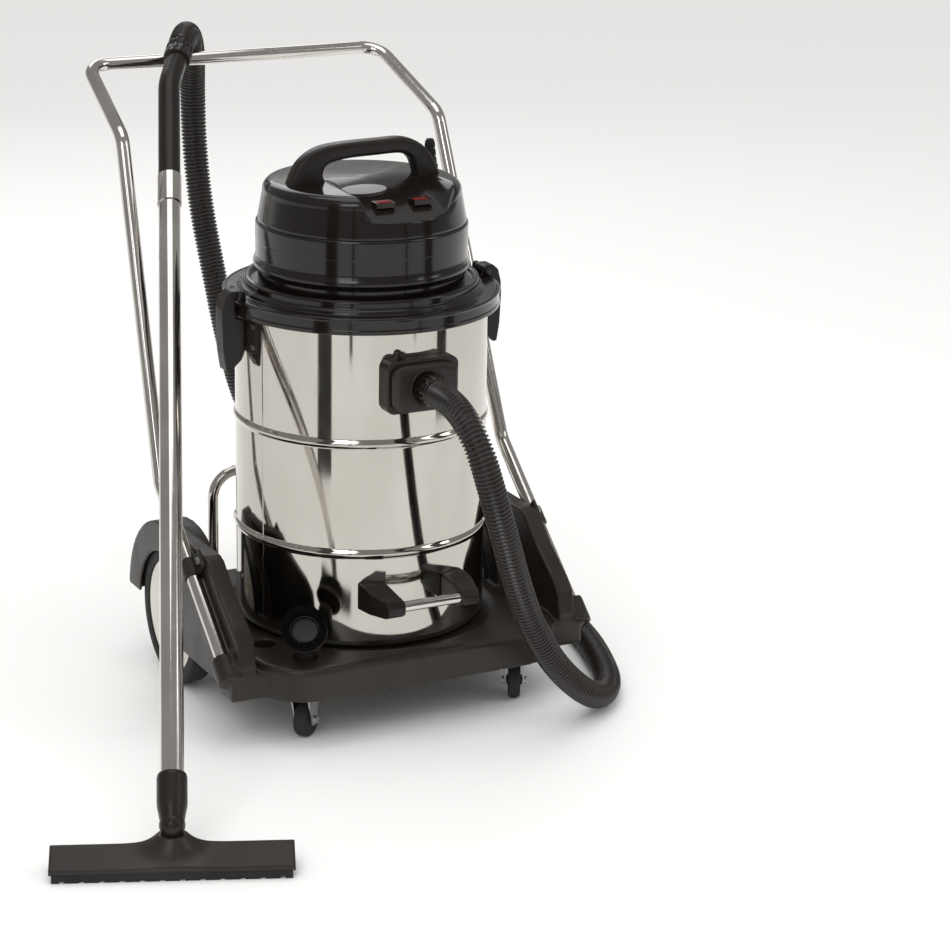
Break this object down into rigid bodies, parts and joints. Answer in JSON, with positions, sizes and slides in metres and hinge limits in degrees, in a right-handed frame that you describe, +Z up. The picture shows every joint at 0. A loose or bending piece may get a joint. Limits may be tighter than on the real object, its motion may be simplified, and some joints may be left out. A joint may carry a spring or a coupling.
{
  "type": "shop vacuum",
  "caption": "Wet and dry shop vacuum: polished steel drum with a black twin-motor head on a tip-back cart, with corrugated hose, steel wand and floor squeegee tool.",
  "frame": {"origin": "on the floor, in the middle of the object's footprint, hose apart", "axes": "+Z up, -Y towards the front with the hose inlet, +X to the right as seen from the front, and left and right in the names are as seen from the front"},
  "size_m": [1.2718, 1.3805, 1.1113],
  "materials": {
    "black_plastic": "moulded, light grain",
    "gloss_black": "polished",
    "polished_steel": "mirror polished stainless",
    "chrome_tube": "bright",
    "zinc_steel": "zinc plated",
    "wheel_disc": "cream moulding",
    "wheel_rubber": "matt",
    "soft_rubber": "matt",
    "hose_plastic": "corrugated, satin",
    "red_rocker": "translucent red",
    "filter_cloth": "woven",
    "float_foam": "smooth",
    "bristle": "nylon bristle"
  },
  "bodies": {
    "cart": {"cart_body": "black_plastic", "push_handle": "chrome_tube", "handle_clamps": "black_plastic", "clamp_bolts": "zinc_steel", "rear_bar": "chrome_tube", "rear_axle": "zinc_steel", "axle_caps": "zinc_steel", "caster_plates": "zinc_steel", "hose_front": "hose_plastic", "hose_rear": "hose_plastic"},
    "left_wheel": {"left_wheel_hub": "wheel_disc", "left_wheel_tyre": "wheel_rubber"},
    "right_wheel": {"right_wheel_hub": "wheel_disc", "right_wheel_tyre": "wheel_rubber"},
    "left_caster": {"left_caster_fork": "zinc_steel", "left_caster_pin": "zinc_steel"},
    "right_caster": {"right_caster_fork": "zinc_steel", "right_caster_pin": "zinc_steel"},
    "left_caster_roller": {"left_caster_wheel": "wheel_rubber"},
    "right_caster_roller": {"right_caster_wheel": "wheel_rubber"},
    "drum_assembly": {"drum": "polished_steel", "drum_gasket": "soft_rubber", "catch_plates": "black_plastic", "catch_rivets": "zinc_steel", "inlet_flange": "black_plastic", "inlet_box": "black_plastic", "inlet_screws": "zinc_steel", "inlet_deflector": "black_plastic", "tilt_brackets": "black_plastic", "tilt_bar": "chrome_tube", "pivot_hooks": "chrome_tube"},
    "head": {"head_rim": "gloss_black", "motor_housing": "gloss_black", "dome": "gloss_black", "carry_handle": "gloss_black", "switch_frames": "gloss_black", "badge_plate": "polished_steel", "cord_gland": "gloss_black", "left_motor": "zinc_steel", "right_motor": "zinc_steel", "float_cage": "black_plastic", "cloth_filter": "filter_cloth"},
    "left_latch_lever": {"left_latch": "black_plastic"},
    "right_latch_lever": {"right_latch": "black_plastic"},
    "left_switch": {"left_rocker": "red_rocker"},
    "right_switch": {"right_rocker": "red_rocker"},
    "left_armature": {"left_rotor": "zinc_steel"},
    "right_armature": {"right_rotor": "zinc_steel"},
    "float": {"float_ball": "float_foam"},
    "inlet_swivel": {"inlet_cuff": "black_plastic"},
    "wand": {"wand_grip": "black_plastic", "wand_collar": "chrome_tube", "upper_wand_tube": "chrome_tube", "lower_wand_tube": "chrome_tube", "tool_neck": "black_plastic"},
    "wand_swivel": {"swivel_cuff": "black_plastic"},
    "tool": {"floor_tool": "black_plastic", "floor_tool_blades": "soft_rubber"},
    "brush": {"dust_brush": "black_plastic", "dust_bristles": "bristle"}
  },
  "joints": [
    {"name": "left_wheel_spin", "type": "hinge", "parent": "cart", "child": "left_wheel", "pos_m": [-0.07587, 0.20419, 0.124], "axis": [1, 0, 0], "continuous": true},
    {"name": "left_caster_swivel", "type": "hinge", "parent": "cart", "child": "left_caster", "pos_m": [0.00813, -0.13881, 0.07], "axis": [0, 0, 1], "continuous": true},
    {"name": "left_caster_roll", "type": "hinge", "parent": "left_caster", "child": "left_caster_roller", "pos_m": [0.01901, -0.12999, 0.032], "axis": [0.6293, -0.7771, 0], "continuous": true},
    {"name": "right_wheel_spin", "type": "hinge", "parent": "cart", "child": "right_wheel", "pos_m": [0.50413, 0.20419, 0.124], "axis": [1, 0, 0], "continuous": true},
    {"name": "right_caster_swivel", "type": "hinge", "parent": "cart", "child": "right_caster", "pos_m": [0.42013, -0.13881, 0.07], "axis": [0, 0, 1], "continuous": true},
    {"name": "right_caster_roll", "type": "hinge", "parent": "right_caster", "child": "right_caster_roller", "pos_m": [0.4267, -0.12644, 0.032], "axis": [0.8829, -0.4695, 0], "continuous": true},
    {"name": "drum_tilt", "type": "hinge", "parent": "cart", "child": "drum_assembly", "pos_m": [0.21413, 0.31019, 0.342], "axis": [1, 0, 0], "range_deg": [-15, 0], "deforming": ["hose_front"]},
    {"name": "head_lift", "type": "slide", "parent": "drum_assembly", "child": "head", "axis": [0, 0, 1], "range_m": [0, 0.3]},
    {"name": "left_latch_swing", "type": "hinge", "parent": "head", "child": "left_latch_lever", "pos_m": [-0.01987, 0.07019, 0.741], "axis": [0, 1, 0], "range_deg": [0, 25]},
    {"name": "right_latch_swing", "type": "hinge", "parent": "head", "child": "right_latch_lever", "pos_m": [0.44813, 0.07019, 0.741], "axis": [0, -1, 0], "range_deg": [0, 95]},
    {"name": "left_switch_rock", "type": "hinge", "parent": "head", "child": "left_switch", "pos_m": [0.20013, -0.04181, 0.89949], "axis": [1, 0, 0], "range_deg": [-6, 6]},
    {"name": "right_switch_rock", "type": "hinge", "parent": "head", "child": "right_switch", "pos_m": [0.27013, -0.04181, 0.89949], "axis": [1, 0, 0], "range_deg": [-6, 6]},
    {"name": "left_armature_spin", "type": "hinge", "parent": "head", "child": "left_armature", "pos_m": [0.13613, 0.07019, 0.79], "axis": [0, 0, 1], "continuous": true},
    {"name": "right_armature_spin", "type": "hinge", "parent": "head", "child": "right_armature", "pos_m": [0.29213, 0.07019, 0.79], "axis": [0, 0, 1], "continuous": true},
    {"name": "float_rise", "type": "slide", "parent": "head", "child": "float", "axis": [0, 0, 1], "range_m": [0, 0.065]},
    {"name": "inlet_cuff_turn", "type": "hinge", "parent": "drum_assembly", "child": "inlet_swivel", "pos_m": [0.21413, -0.19981, 0.614], "axis": [0, 1, 0], "continuous": true},
    {"name": "wand_lift", "type": "hinge", "parent": "cart", "child": "wand", "pos_m": [0.21413, 0.6212, 1.0436], "axis": [-1, 0, 0], "range_deg": [0, 12], "deforming": ["hose_rear"]},
    {"name": "tool_tilt", "type": "hinge", "parent": "wand", "child": "tool", "pos_m": [-0.37987, -0.5148, 0.07], "axis": [0.9266, -0.3761, 0], "range_deg": [-30, 30]},
    {"name": "wand_cuff_turn", "type": "hinge", "parent": "wand", "child": "wand_swivel", "pos_m": [0.08182, 0.57668, 1.06299], "axis": [0.4969, 0.7649, 0.4099], "continuous": true},
    {"name": "brush_lift", "type": "slide", "parent": "cart", "child": "brush", "axis": [0, 0, 1], "range_m": [0, 0.15]}
  ]
}
